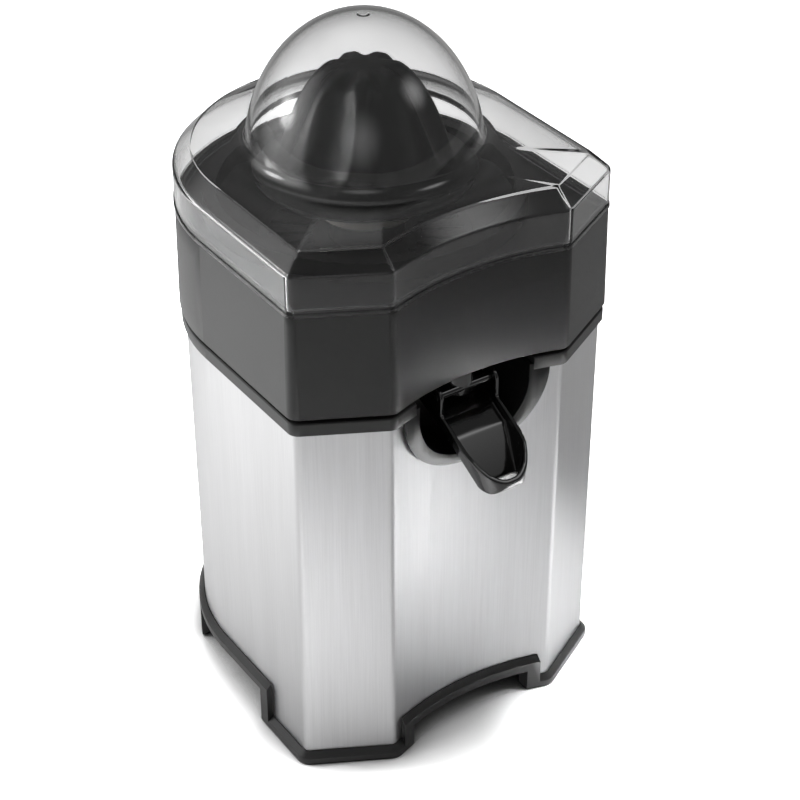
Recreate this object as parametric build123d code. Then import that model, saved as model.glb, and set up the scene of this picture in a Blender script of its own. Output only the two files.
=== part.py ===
from build123d import *
import os
from math import acos, atan2, cos, degrees, hypot, pi, radians, sin, sqrt, tan

os.makedirs("parts", exist_ok=True)

# Citrus press. Millimetres, +Z up, front towards -Y, standing on z = 0.
# Everything is modelled about the reamer axis and moved to the box centre on export.

# Plan outline of the body: concave front, slanted shoulders, straight flanks, round back
half_width = 83.0
front_half = 44.4
front_y = -89.6
shoulder_y = -69.1
front_sag = 8.0
back_y = 2.8
corner_r = 6.0

# Levels of the outer pieces. Further up, a rise or a drop is counted from the top of the steel,
# and the ledge's drop from the rim of the collector.
foot_lift = 1.0
foot_top = 6.5
arch_bottom = 12.2
arch_top = 19.3
side_bottom = 20.3
side_top = 26.3
steel_top = 186.2
band_height = 6.0
seam = 2.0
tub_height = 49.6
wall_height = 18.4
bevel_height = 7.5
dome_height = 58.9

# Offsets of the skins from the plan outline, outward positive
base_out = 0.7
steel_in = 2.4
steel_wall = 0.8
band_in = 0.6
tub_draft = 0.9
tub_edge = 0.6
band_edge = 0.5
bevel_run = 7.6
fit_gap = 0.1
slide_gap = 0.3
run_gap = 0.04

# Base frame
frame_wall = 2.3
floor_gap = 0.5
floor_t = 3.0
arch_half = 33.0
arch_band = 6.2
side_arch_front = -32.5
side_arch_back = 36.0
trim_bevel = 2.6
steel_tuck = 2.0
foot_pad_r = 5.0
foot_pad_t = 2.2
foot_column_r = 7.5
cord_hole_r = 3.2
cord_inset = 19.8

# Upper trim, front recess and bearing tower
deck_t = 3.0
bezel_r = 38.0
bezel_rise = 0.6
bezel_proud = 1.7
recess_r = 28.8
recess_drop = 3.8
recess_wall = 2.0
front_seam = 37.0
recess_back = -55.5
tower_r = 9.0
tower_rise = 49.8

# Drive line
shaft_r = 4.0
hex_half = 3.3
shaft_foot = 103.0
shaft_rise = 101.8
bush_r = 6.0
bush_len = 12.0
press_travel = 3.0
plate_z = 96.0
plate_t = 4.0
plate_rim = 6.0
plate_d = 96.0
plate_y = 10.0
gear_module = 1.2
pinion_teeth = 10
wheel_teeth = 40
pressure_angle = 25.0
backlash = 0.3
wheel_t = 6.0
pinion_len = 13.0
gear_cover_z = 126.0
gear_cover_t = 4.0
gear_wall = 2.5
small_r = 1.5
idler_pin_r = 2.0
clip_t = 1.2
pocket_r = 6.2
pocket_wall = 1.8
pocket_floor = 2.0
pocket_z = 73.0
cap_len = 11.0
arm_half = 1.5
spring_wire = 0.9
spring_turns = 5

# Motor
stack_side = 46.0
stack_z = 50.0
stack_t = 22.0
rotor_r = 12.9
air_gap = 0.5
rotor_shaft_r = 2.5
slot_r = 3.2
bracket_t = 3.0
bracket_gap = 12.0
winding_h = 6.5
leg = 3.0
strap_half = 8.0
standoff_r = 4.0
screw_r = 1.8
screw_bite = 12.0
base_bite = 14.0
post_r = 4.5
post_right = 34.0
post_front = -24.0
post_inset = 31.0
post_back = 39.8
fan_r = 13.0
fan_h = 5.0
fan_blades = 8

# Switch
switch_len = 16.0
switch_half = 4.0
switch_top = 86.0
switch_h = 10.0
lever_t = 1.0
lever_arm = 14.0
lever_pin_r = 1.0
flange_t = 3.5
hang_r = 1.2
hang_bite = 7.0

# Juice collector, spout and strainer
tub_wall = 3.6
tub_floor_t = 2.5
tub_fall = 3.0
chimney_r = 13.0
chimney_wall = 2.5
chimney_rise = 46.8
ledge_drop = 4.8
ledge_w = 3.0
nozzle_y = -69.0
nozzle_r = 8.5
nozzle_bore = 5.5
nozzle_drop = 5.2
hinge_ahead = 6.5
hinge_pin_r = 2.0
ear_r = 5.0
spout_half = 15.5
spout_wall = 2.0
spout_nose = 113.0
spout_back = 61.5
spout_drop = 7.2
spout_depth = 6.5
bend_y = -86.0
bend_depth = 3.2
ramp_slope = 48.0
ramp_end_y = -102.5
lip_y = -102.0
lip_drop = 30.2
nose_half = 10.5
nose_taper = 18.0
nose_round = 5.6
nose_share = 0.9
spout_slope = 27.0
tip_drop = 36.2
basket_t = 2.5
seat_w = 2.0
seat_t = 1.6
basket_hole_r = 64.8
basket_ring_r = 70.7
basket_ring_h = 8.5
basket_floor_r = 47.0
basket_floor_rise = 35.8
basket_hub_r = 16.5
basket_hub_rise = 52.8
basket_slots = 24
slot_w = 2.6
ring_t = 2.5
tab_half = 3.5
tab_len = 8.0
tab_t = 1.8

# Reamer
reamer_rise = 122.8
crown_power = 2.2
cone_r = 38.0
cone_rise = 81.4
skirt_r = 49.1
skirt_rise = 69.9
skirt_t = 2.2
ridges = 7
ridge_turn = 28.3
flute_r = 20.0
flute_tip_r = 10.4
flute_len = 42.5
flute_tilt = 36.9
flute_out = 9.9
flute_rise = 14.4
collar_r = 21.0
collar_rise = 55.8
collar_h = 5.0

# Clear cover
cover_t = 2.0
cover_lip = 0.5
cover_lip_h = 2.0
dome_r = 52.5
dome_blend = 6.0
dome_sink = 6.2
gate_r = 2.5
register_t = 1.6
register_h = 2.0
register_gap = 0.8

band_top = steel_top + band_height
tub_z = band_top + seam
tub_top = tub_z + tub_height
wall_top = tub_top + wall_height
cover_z = wall_top + bevel_height
dome_base = cover_z - dome_sink
deck_z = steel_top + deck_t
bezel_z = steel_top + bezel_rise
recess_z = steel_top - recess_drop
tower_top = steel_top + tower_rise
shaft_top = steel_top + shaft_rise
chimney_top = steel_top + chimney_rise
ledge_z = tub_top - ledge_drop
nozzle_end = steel_top - nozzle_drop
spout_top = steel_top - spout_drop
lip_z = steel_top - lip_drop
spout_tip_z = steel_top - tip_drop
basket_floor_z = steel_top + basket_floor_rise
basket_hub_top = steel_top + basket_hub_rise
reamer_top = steel_top + reamer_rise
cone_z = steel_top + cone_rise
skirt_z = steel_top + skirt_rise
collar_z = steel_top + collar_rise
hinge_y = nozzle_y - hinge_ahead
hinge_z = spout_top + ear_r + slide_gap
floor_z = side_bottom + floor_gap
floor_top = floor_z + floor_t
steel_inner = steel_in + steel_wall
frame_in = steel_inner + fit_gap + frame_wall
back_reach = back_y + half_width + base_out
cord_y = back_y + half_width - cord_inset
axis_y = (spout_nose - back_reach) / 2

# Gear axes stand on an equilateral triangle with the reamer axis
centre_distance = gear_module * (pinion_teeth + wheel_teeth) / 2
rotor_axis = (0.0, centre_distance)
idler_axis = (-centre_distance * cos(radians(30)), centre_distance / 2)
wheel_tip = gear_module * (wheel_teeth / 2 + 0.8)
pinion_tip = gear_module * (pinion_teeth / 2 + 0.8)
idler_wheel_z = plate_z + plate_t + 4
idler_pinion_z = idler_wheel_z + wheel_t
output_z = idler_pinion_z + pinion_len - wheel_t - 1

UP = (Align.CENTER, Align.CENTER, Align.MIN)


def rod(r, z0, z1, x=0.0, y=0.0):
    """Upright round bar between two heights."""
    return Pos(x, y, z0) * Cylinder(r, z1 - z0, align=UP)


def tube(r_out, r_in, z0, z1, x=0.0, y=0.0):
    """Upright tube between two heights."""
    return rod(r_out, z0, z1, x, y) - rod(r_in, z0, z1, x, y)


def block(x0, x1, y0, y1, z0, z1):
    """Box given by its faces."""
    middle = Pos((x0 + x1) / 2, (y0 + y1) / 2, (z0 + z1) / 2)
    return middle * Box(x1 - x0, y1 - y0, z1 - z0)


def cross_rod(r, x0, x1, y, z):
    """Round bar along X between two faces."""
    return Pos(x0, y, z) * Rot(0, 90, 0) * Cylinder(r, x1 - x0, align=UP)


def outline(k):
    """Plan outline of the body moved outward by k, with its four front corners rounded."""
    run = front_half - half_width
    rise = front_y - shoulder_y
    length = hypot(run, rise)
    dx, dy = run / length, rise / length
    front_r = (front_half**2 + front_sag**2) / (2 * front_sag)
    centre_y = front_y + front_sag - front_r
    px, py = half_width - dy * k, shoulder_y + dx * k
    ax = half_width + k
    ay = py + dy * (ax - px) / dx
    qx, qy = ax, ay - centre_y
    reach = front_r - k
    half_b = qx * dx + qy * dy
    t = -half_b - sqrt(half_b**2 - (qx**2 + qy**2 - reach**2))
    bx, by = ax + t * dx, ay + t * dy
    edges = [
        Line((ax, ay), (ax, back_y)),
        ThreePointArc((ax, back_y), (0, back_y + ax), (-ax, back_y)),
        Line((-ax, back_y), (-ax, ay)),
        Line((-ax, ay), (-bx, by)),
        ThreePointArc((-bx, by), (0, centre_y + reach), (bx, by)),
        Line((bx, by), (ax, ay)),
    ]
    face = make_face(edges)
    corners = face.vertices().filter_by(lambda v: v.Y < (ay + back_y) / 2)
    return fillet(corners, max(corner_r + k, 1.2))


def plate(k, z0, z1):
    """Upright prism on the plan outline moved outward by k."""
    return Pos(0, 0, z0) * extrude(outline(k), z1 - z0)


def taper(k0, z0, k1, z1):
    """Ruled skin from one offset of the outline to another."""
    return loft([Pos(0, 0, z0) * outline(k0), Pos(0, 0, z1) * outline(k1)], ruled=True)


def recess(r, zc, y0, y1, z_top):
    """U-shaped prism along Y: a half-round floor with straight sides up to z_top."""
    bar = Pos(0, y0, zc) * Rot(-90, 0, 0) * Cylinder(r, y1 - y0, align=UP)
    return bar + block(-r, r, y0, y1, zc, z_top)


def gear(teeth, phase, z0, z1):
    """Flat-faced involute gear with a tooth centred on the angle phase, in degrees."""
    pitch = gear_module * teeth / 2
    base = pitch * cos(radians(pressure_angle))
    root = pitch - 1.05 * gear_module
    tip = pitch + 0.8 * gear_module
    start = max(base, root)

    def involute(r):
        a = acos(min(1.0, base / r))
        return tan(a) - a

    half = pi / (2 * teeth) - backlash / (4 * pitch) + involute(pitch)
    radii = [start + (tip - start) * i / 3 for i in range(4)]
    flank = [(r, half - involute(r)) for r in radii]
    if root < start:
        flank = [(root, half)] + flank
    points = []
    for n in range(teeth):
        mid = radians(phase) + 2 * pi * n / teeth
        points += [(r * cos(mid - a), r * sin(mid - a)) for r, a in flank]
        points += [(r * cos(mid + a), r * sin(mid + a)) for r, a in reversed(flank)]
    return Pos(0, 0, z0) * extrude(make_face(Polyline(*points, close=True)), z1 - z0)


def angle_between(p, q):
    """Direction from p to q in degrees."""
    return degrees(atan2(q[1] - p[1], q[0] - p[0]))


def both_sides(shape):
    """The shape and its mirror image across the middle plane."""
    return shape + mirror(shape, Plane.YZ)


def screw(x, y, z0, z1, r, head_up):
    """Pan-head screw whose shank runs between two heights, head above or below."""
    head_z = z1 if head_up else z0 - 1.3 * r
    return rod(r, z0, z1, x, y) + rod(1.9 * r, head_z, head_z + 1.3 * r, x, y)


def top_line(y):
    """Height of the spout's wall tops at y."""
    return spout_top + tan(radians(spout_slope)) * (y - hinge_y)


def spout_plan(half, nose):
    """Plan of the spout: straight sides and a rounded nose."""
    face = make_face(Polyline((-half, -nose), (half, -nose), (half, 0), (-half, 0), close=True))
    return fillet(face.vertices().filter_by(lambda v: v.Y < -1), nose_share * half)


def spout_block(inset):
    """Upright block on the spout's plan drawn in by inset, narrowing towards the tip."""
    wide = spout_plan(spout_half - inset, spout_nose - inset)
    narrow = spout_plan(nose_half - inset, spout_nose - inset)
    shoulder_z = spout_tip_z + nose_taper
    lower = loft([Pos(0, 0, spout_tip_z) * narrow, Pos(0, 0, shoulder_z) * wide], ruled=True)
    return lower + Pos(0, 0, shoulder_z) * extrude(wide, steel_top - shoulder_z)


def dome(shrink):
    """Half ellipsoid drawn in by shrink, swept out at its foot into the deck by a round blend."""
    level = cover_z - shrink
    blend = dome_blend + shrink
    wide = dome_r - shrink
    tall = level + dome_height - dome_base
    low, high = 0.0, pi / 4
    for step in range(40):
        a = (low + high) / 2
        size = hypot(cos(a) / wide, sin(a) / tall)
        nx, nz = cos(a) / wide / size, sin(a) / tall / size
        foot = dome_base + tall * sin(a) + blend * nz - blend
        low, high = (a, high) if foot < level else (low, a)
    px, pz = wide * cos(a), dome_base + tall * sin(a)
    cx, cz = px + blend * nx, level + blend
    turn = hypot(nx, nz + 1)
    middle = (cx - blend * nx / turn, cz - blend * (nz + 1) / turn)
    start = degrees(a)
    face = make_face(
        [
            EllipticalCenterArc((0, dome_base), wide, tall, start_angle=start, arc_size=90 - start),
            Line((0, dome_base + tall), (0, dome_base)),
            Line((0, dome_base), (cx, dome_base)),
            Line((cx, dome_base), (cx, level)),
            ThreePointArc((cx, level), middle, (px, pz)),
        ]
    )
    return revolve(Plane.XZ * face, Axis.Z)


def cover_skin(shrink, z0):
    """Solid inside the cover's surface drawn in by shrink."""
    k = -tub_draft - shrink
    slim = shrink * tan(radians(22.5))
    solid = plate(k, z0, wall_top - slim)
    solid += taper(k, wall_top - slim, -tub_draft - bevel_run - slim, cover_z - shrink)
    return solid + dome(shrink)


nodes = {}

# Base frame: a trim ribbon on low front feet that steps up over the front and side arches
step_x = arch_half + arch_band
step_y = side_arch_front - arch_band
foot_zone = both_sides(block(step_x, 2 * half_width, 2 * front_y, step_y, 0, steel_top))
front_zone = block(-step_x, step_x, 2 * front_y, step_y, 0, steel_top)
side_zone = block(-2 * half_width, 2 * half_width, step_y, 3 * half_width, 0, steel_top)
zones = [(foot_zone, foot_top), (front_zone, arch_top), (side_zone, side_top)]
foot_spots = []
slant = hypot(half_width - front_half, shoulder_y - front_y)
pad_x = (half_width + front_half) / 2 + (front_y - shoulder_y) / slant * foot_pad_r
pad_y = (shoulder_y + front_y) / 2 + (half_width - front_half) / slant * foot_pad_r
rear = (half_width - foot_pad_r) * cos(radians(45))
for side in (-1, 1):
    foot_spots.append((side * pad_x, pad_y))
    foot_spots.append((side * rear, back_y + rear))

slot_in, slot_out = steel_inner + fit_gap, steel_in - fit_gap
hollow = plate(-frame_in, 0, steel_top)
frame = plate(-slot_in, foot_lift, side_top) - hollow
for zone, top in zones:
    ribbon = plate(base_out, foot_lift, top - trim_bevel)
    ribbon += taper(base_out, top - trim_bevel, base_out - trim_bevel, top)
    ribbon -= plate(-slot_out, top - steel_tuck, steel_top) + hollow
    ribbon -= plate(-slot_in, 0, steel_top) - plate(-slot_in, 0, top - steel_tuck)
    frame += ribbon & zone
frame += plate(-frame_in + fit_gap, floor_z, floor_top)
columns = Part() + [rod(foot_column_r, foot_lift, floor_top, x, y) for x, y in foot_spots]
frame += columns & plate(-slot_in, foot_lift, floor_top)
frame -= block(-arch_half, arch_half, 2 * front_y, step_y, 0, arch_bottom)
frame -= both_sides(block(pad_x, 2 * half_width, side_arch_front, side_arch_back, 0, side_bottom))
frame -= [rod(foot_pad_r, 0, foot_pad_t, x, y) for x, y in foot_spots]
frame -= block(-cord_hole_r, cord_hole_r, cord_y, back_reach, 0, 2 * cord_hole_r)
grommet_r = 1.8 * cord_hole_r
frame -= rod(grommet_r, 0, floor_top, 0, cord_y)

nodes["rubber_feet"] = Part() + [rod(foot_pad_r, 0, foot_pad_t, x, y) for x, y in foot_spots]
grommet = rod(grommet_r, floor_z, floor_top, 0, cord_y)
grommet += rod(grommet_r + 1.5, floor_top, floor_top + 2, 0, cord_y)
grommet += rod(grommet_r + 1.5, floor_z - 2, floor_z, 0, cord_y)
nodes["cord_grommet"] = grommet - rod(cord_hole_r, 0, floor_top + 2, 0, cord_y)

# Brushed steel: a concave front panel with the spout notch, and a wrap round the sides and back
steel = Part()
for zone, top in zones:
    steel += plate(-steel_in, top - steel_tuck, steel_top) & zone
steel -= plate(-steel_inner, 0, steel_top)
front_part = block(-front_seam, front_seam, 2 * front_y, shoulder_y, 0, steel_top)
notch_r = recess_r + recess_wall + fit_gap
notch_back = recess_back + recess_wall + fit_gap
notch = recess(notch_r, recess_z, 2 * front_y, notch_back, 2 * steel_top)
nodes["steel_front"] = (steel & front_part) - notch
nodes["steel_wrap"] = steel - front_part

# Motor chassis: plate on posts, spring pocket under the shaft, motor hung below
post_left = post_inset - half_width
post_rear = back_y + half_width - post_back
posts = [(post_right, post_front), (post_left, post_front), (post_right, post_rear), (post_left, post_rear)]
bosses = [(36.0, 14.0), (-20.0, -34.0), (-30.0, 52.0)]
motor_corner = stack_side / 2 - standoff_r
motor_spots = []
for sx, sy in ((-1, -1), (-1, 1), (1, -1), (1, 1)):
    motor_spots.append((sx * motor_corner, centre_distance + sy * motor_corner))
stack_top = stack_z + stack_t
plate_w = post_right - post_left + 2 * plate_rim
plate_x = (post_right + post_left) / 2
plate_face = RectangleRounded(plate_w, plate_d, plate_rim)
chassis = Pos(plate_x, plate_y, plate_z) * extrude(plate_face, plate_t)
chassis += [rod(post_r, floor_top, plate_z, x, y) for x, y in posts]
chassis += [rod(standoff_r, stack_top, plate_z, x, y) for x, y in motor_spots]
chassis += rod(pocket_r + pocket_wall, pocket_z, plate_z)
chassis -= rod(pocket_r, pocket_z + pocket_floor, plate_z + plate_t)
arm_z = shaft_foot - cap_len
chassis -= block(-arm_half - 0.5, arm_half + 0.5, -2 * pocket_r, 0, arm_z - press_travel - 1, plate_z)
chassis -= rod(rotor_shaft_r + 1.5, plate_z, plate_z + plate_t, *rotor_axis)
chassis -= rod(idler_pin_r, plate_z, plate_z + plate_t, *idler_axis)
chassis -= [rod(screw_r, floor_top, floor_top + base_bite, x, y) for x, y in posts]
chassis -= [rod(screw_r, stack_top, stack_top + screw_bite, x, y) for x, y in motor_spots]
chassis -= [rod(screw_r, plate_z, plate_z + plate_t, x, y) for x, y in bosses]
frame -= [rod(screw_r, 0, floor_top, x, y) for x, y in posts]
base_screws = [screw(x, y, floor_z, floor_top + base_bite, screw_r, False) for x, y in posts]
nodes["base_screws"] = Part() + base_screws
chassis_screws = [screw(x, y, plate_z, plate_z + plate_t + screw_bite, screw_r, False) for x, y in bosses]
nodes["chassis_screws"] = Part() + chassis_screws

# Snap-action switch beside the spring pocket, worked by an arm on the thrust cap
lever_tip_y = -(pocket_r + pocket_wall + 3.5)
lever_y = lever_tip_y - lever_arm
lever_z = arm_z - 0.2 - lever_t / 2
switch_front = lever_y - 4.0
switch_back = switch_front + switch_len
switch = block(-switch_half, switch_half, switch_front, switch_back, switch_top - switch_h, switch_top)
ear_gap = switch_half - 1.4
for side in (-1, 1):
    x0, x1 = sorted((side * ear_gap, side * switch_half))
    switch += block(x0, x1, lever_y - 2, lever_y + 2, switch_top, lever_z + 2)
flange_x = switch_half + 6
flange_z = switch_top - flange_t
switch += block(switch_half, flange_x, switch_front, switch_back, flange_z, switch_top)
switch += rod(hang_r, switch_top, switch_top + 2.4, 0, lever_y + 8)
switch -= cross_rod(lever_pin_r, -switch_half, switch_half, lever_y, lever_z)
hang_x = switch_half + 3.2
hang_spots = [(hang_x, switch_front + 3), (hang_x, switch_back - 3)]
hang_top = switch_top + hang_bite
switch -= [rod(hang_r, 0, switch_top, x, y) for x, y in hang_spots]
chassis += [rod(hang_r + 1.4, switch_top, plate_z, x, y) for x, y in hang_spots]
chassis -= [rod(hang_r, switch_top, hang_top, x, y) for x, y in hang_spots]
nodes["switch_body"] = switch
switch_screws = [screw(x, y, flange_z, hang_top, hang_r, False) for x, y in hang_spots]
nodes["switch_screws"] = Part() + switch_screws
nodes["switch_pin"] = cross_rod(lever_pin_r, -switch_half, switch_half, lever_y, lever_z)
lever = block(-2, 2, lever_y, lever_tip_y + 1.5, lever_z - lever_t / 2, lever_z + lever_t / 2)
lever += cross_rod(2 * lever_pin_r, -2, 2, lever_y, lever_z)
lever -= cross_rod(lever_pin_r + run_gap, -2, 2, lever_y, lever_z)
nodes["switch_lever"] = lever
nodes["motor_chassis"] = chassis

# Thrust cap and return spring under the shaft
cap = rod(pocket_r - 2 * slide_gap, arm_z, shaft_foot)
cap += block(-arm_half, arm_half, lever_tip_y - 1.5, 0, arm_z, arm_z + 3)
nodes["thrust_cap"] = cap
spring_z0 = pocket_z + pocket_floor + spring_wire
spring_z1 = arm_z - spring_wire
spring_r = pocket_r - 1.2 - spring_wire
spring_h = spring_z1 - spring_z0
coil_path = Helix(spring_h / spring_turns, spring_h, spring_r, center=(0, 0, spring_z0))
coil_face = Plane(coil_path @ 0, z_dir=coil_path % 0) * Circle(spring_wire)
nodes["return_spring"] = sweep(coil_face, coil_path)

# Motor: laminated stack, windings, brackets, rotor and fan
mx, my = rotor_axis
stack = Pos(mx, my, stack_z) * extrude(RectangleRounded(stack_side, stack_side, 4), stack_t)
stack -= rod(rotor_r + air_gap, stack_z, stack_top, mx, my)
slot_radius = rotor_r + air_gap + slot_r - 0.8
slots = [(mx + slot_radius * dx, my + slot_radius * dy) for dx, dy in ((1, 0), (0, 1), (-1, 0), (0, -1))]
stack -= [rod(slot_r, stack_z, stack_top, x, y) for x, y in slots]
stack -= [rod(screw_r, stack_z, stack_top, x, y) for x, y in motor_spots]
nodes["stator_core"] = stack
winding_in = rotor_r + air_gap + 0.6
winding_out = slot_radius + slot_r
coils = tube(winding_out, winding_in, stack_top, stack_top + winding_h, mx, my)
coils += tube(winding_out, winding_in, stack_z - winding_h, stack_z, mx, my)
bars = [rod(slot_r - 0.6, stack_z - 1, stack_top + 1, x, y) for x, y in slots]
bore = rod(winding_in, stack_z - winding_h, stack_top + winding_h, mx, my)
nodes["stator_coils"] = coils + [bar - bore for bar in bars]
leg_in = winding_out + 1.0
upper_bracket_z = stack_top + bracket_gap
lower_bracket_z = stack_z - bracket_gap - bracket_t
brackets = []
for z, foot0, foot1 in (
    (upper_bracket_z, stack_top, upper_bracket_z),
    (lower_bracket_z, lower_bracket_z + bracket_t, stack_z),
):
    strap = block(mx - leg_in - leg, mx + leg_in + leg, my - strap_half, my + strap_half, z, z + bracket_t)
    for side in (-1, 1):
        x0, x1 = sorted((mx + side * leg_in, mx + side * (leg_in + leg)))
        strap += block(x0, x1, my - strap_half, my + strap_half, foot0, foot1)
    strap -= rod(bush_r - 1, z, z + bracket_t, mx, my)
    brackets.append(strap)
nodes["motor_bracket_upper"] = brackets[0]
nodes["motor_bracket_lower"] = brackets[1]
rotor_bushes = [
    tube(bush_r - 1, rotor_shaft_r + run_gap, z, z + bracket_t + 2, mx, my)
    for z in (upper_bracket_z, lower_bracket_z - 2)
]
nodes["rotor_bushes"] = Part() + rotor_bushes
motor_screws = [screw(x, y, stack_z, stack_top + screw_bite, screw_r, False) for x, y in motor_spots]
nodes["motor_screws"] = Part() + motor_screws
nodes["rotor_core"] = tube(rotor_r, rotor_shaft_r, stack_z - 1, stack_top + 1, mx, my)
fan_z = lower_bracket_z - 2 - 1 - fan_h
rotor_shaft_top = idler_wheel_z + wheel_t + 3
nodes["rotor_shaft"] = rod(rotor_shaft_r, fan_z - 1, rotor_shaft_top, mx, my)
fan = rod(fan_r, fan_z, fan_z + 1.2, mx, my) + rod(2 * rotor_shaft_r, fan_z, fan_z + fan_h, mx, my)
for n in range(fan_blades):
    blade = block(rotor_shaft_r + 1, fan_r - 0.5, -0.5, 0.5, fan_z + 0.6, fan_z + fan_h)
    fan += Pos(mx, my, 0) * Rot(0, 0, 360 * n / fan_blades) * blade
nodes["motor_fan"] = fan - rod(rotor_shaft_r, fan_z, fan_z + fan_h, mx, my)

# Two-stage gear train
phase_1 = angle_between(rotor_axis, idler_axis)
phase_2 = angle_between(idler_axis, (0, 0))
half_tooth = 180 / wheel_teeth
motor_pinion = gear(pinion_teeth, phase_1, idler_wheel_z - 2, idler_wheel_z + wheel_t + 2)
nodes["motor_pinion"] = Pos(mx, my, 0) * (motor_pinion - rod(rotor_shaft_r, 0, steel_top))
idler = gear(wheel_teeth, phase_1 + 180 + half_tooth, idler_wheel_z, idler_wheel_z + wheel_t)
idler += gear(pinion_teeth, phase_2, idler_pinion_z, idler_pinion_z + pinion_len)
idler += rod(2 * idler_pin_r, plate_z + plate_t + 0.3, idler_wheel_z)
ix, iy = idler_axis
nodes["idler_gear"] = Pos(ix, iy, 0) * (idler - rod(idler_pin_r + run_gap, plate_z, steel_top))
nodes["idler_pin"] = rod(idler_pin_r, plate_z, gear_cover_z + gear_cover_t, ix, iy)
output = gear(wheel_teeth, phase_2 + 180 + half_tooth, output_z, output_z + wheel_t)
nodes["output_gear"] = output - rod(shaft_r, output_z, output_z + wheel_t)
clip_z = gear_cover_z - slide_gap - clip_t
nodes["shaft_clip"] = tube(shaft_r + 3, shaft_r, clip_z, clip_z + clip_t)
shaft = rod(shaft_r, shaft_foot, tower_top + 2)
hexagon = RegularPolygon(hex_half, 6, major_radius=False)
shaft += Pos(0, 0, tower_top + 2) * extrude(hexagon, shaft_top - tower_top - 2)
nodes["drive_shaft"] = shaft

# Gear cover over the train
cover_circles = [
    ((0.0, 0.0), wheel_tip + 1),
    (idler_axis, wheel_tip + 1),
    (rotor_axis, pinion_tip + 2),
]
tab_reach = wheel_tip + 1 + gear_wall + 2 * small_r + slide_gap
tabs = []
for (x, y), heading in (((0.0, 0.0), 8), ((0.0, 0.0), -95), (idler_axis, 200)):
    tabs.append((x + tab_reach * cos(radians(heading)), y + tab_reach * sin(radians(heading))))
gear_cover = Part()
for (x, y), r in cover_circles:
    gear_cover += rod(r + gear_wall, plate_z + plate_t, gear_cover_z + gear_cover_t, x, y)
tab_r = 3 * small_r
gear_cover += [rod(tab_r, plate_z + plate_t, plate_z + plate_t + 3, x, y) for x, y in tabs]
for (x, y), r in cover_circles:
    gear_cover -= rod(r, plate_z + plate_t, gear_cover_z, x, y)
lower_bush_top = gear_cover_z + bush_len
gear_cover += rod(bush_r + gear_wall, gear_cover_z, lower_bush_top)
gear_cover -= rod(bush_r, gear_cover_z, lower_bush_top)
gear_cover -= rod(idler_pin_r, gear_cover_z, gear_cover_z + gear_cover_t, ix, iy)
gear_cover -= [rod(small_r, plate_z, gear_cover_z, x, y) for x, y in tabs]
chassis = nodes["motor_chassis"] - [rod(small_r, plate_z, plate_z + plate_t, x, y) for x, y in tabs]
nodes["motor_chassis"] = chassis
nodes["gear_cover"] = gear_cover
cover_screws = [screw(x, y, plate_z, plate_z + plate_t + 3, small_r, True) for x, y in tabs]
nodes["gear_cover_screws"] = Part() + cover_screws
nodes["shaft_bush_lower"] = tube(bush_r, shaft_r + run_gap, gear_cover_z, lower_bush_top)

# Upper trim: band, deck, bearing tower and hanging bosses
trim = plate(-band_in, steel_top, band_top - band_edge)
trim += taper(-band_in, band_top - band_edge, -band_in - band_edge, band_top)
trim -= plate(-steel_inner - frame_wall, deck_z, band_top)
trim += plate(-slot_in, steel_top - 3 * deck_t, steel_top) - plate(-frame_in, 0, steel_top)
trim += rod(tower_r, steel_top, tower_top)
trim += [rod(post_r, plate_z + plate_t, steel_top, x, y) for x, y in bosses]
trim -= notch
trim -= rod(bush_r, steel_top, tower_top)
trim -= [rod(screw_r, plate_z, plate_z + plate_t + screw_bite, x, y) for x, y in bosses]
nodes["upper_trim"] = trim

# Spout surround: the recess cup dropped into the notch, with its bezel over the steel
cup = recess(recess_r + recess_wall, recess_z, 2 * front_y, recess_back + recess_wall, deck_z)
bezel_skin = plate(-steel_in + bezel_proud, 0, steel_top) - plate(-steel_in + fit_gap, 0, steel_top)
surround = recess(bezel_r, bezel_z, 2 * front_y, recess_back, 2 * steel_top) & bezel_skin
surround += cup & plate(-steel_in + bezel_proud, 0, deck_z)
nodes["spout_surround"] = surround - recess(recess_r, recess_z, 2 * front_y, recess_back, 2 * steel_top)
upper_bush_top = tower_top - 2
nodes["shaft_bush_upper"] = tube(bush_r, shaft_r + run_gap, upper_bush_top - bush_len, upper_bush_top)
nodes["shaft_seal"] = tube(bush_r, shaft_r + run_gap, upper_bush_top, tower_top)
nodes["base_frame"] = frame

# Terminal block on the floor of the base
terminal = block(-13, 13, -58, -46, floor_top, floor_top + 11)
for n in range(3):
    terminal -= rod(2.2, floor_top + 5, floor_top + 11, -8 + 8 * n, -52)
nodes["terminal_block"] = terminal

# Juice collector: drafted tub with a falling floor and a chimney
tub = taper(-tub_edge, tub_z, 0, tub_z + tub_edge) + taper(0, tub_z + tub_edge, -tub_draft, tub_top)
fall = tan(radians(tub_fall))
floor_low = tub_z + tub_floor_t + 0.3
span = 6 * half_width
above = Pos(0, nozzle_y, floor_low) * Rot(tub_fall, 0, 0) * Box(span, span, steel_top, align=UP)
lowered = Pos(0, nozzle_y, floor_low - tub_floor_t) * Rot(tub_fall, 0, 0)
below = lowered * Box(span, span, steel_top, align=(Align.CENTER, Align.CENTER, Align.MAX))
tub -= plate(-tub_wall, tub_z, tub_top) & above
tub -= plate(-tub_wall, tub_z - 20, tub_top) & below
ledge = plate(-tub_wall + fit_gap, ledge_z - 2.5, ledge_z) - plate(-tub_wall - ledge_w, 0, tub_top)
tub += ledge
tub += rod(chimney_r, tub_z, chimney_top) & (above + lowered * Box(span, span, 2 * tub_floor_t))
rest_spots = [(50.0, -20.0), (-50.0, -20.0), (0.0, 58.0)]
for x, y in rest_spots:
    tub += rod(4, deck_z, floor_low + (y - nozzle_y) * fall - 0.5, x, y)
tub -= rod(chimney_r - chimney_wall, 0, chimney_top)
tub -= rod(nozzle_r, 0, floor_low + tub_floor_t, 0, nozzle_y)
nodes["juice_collector"] = tub

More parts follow.
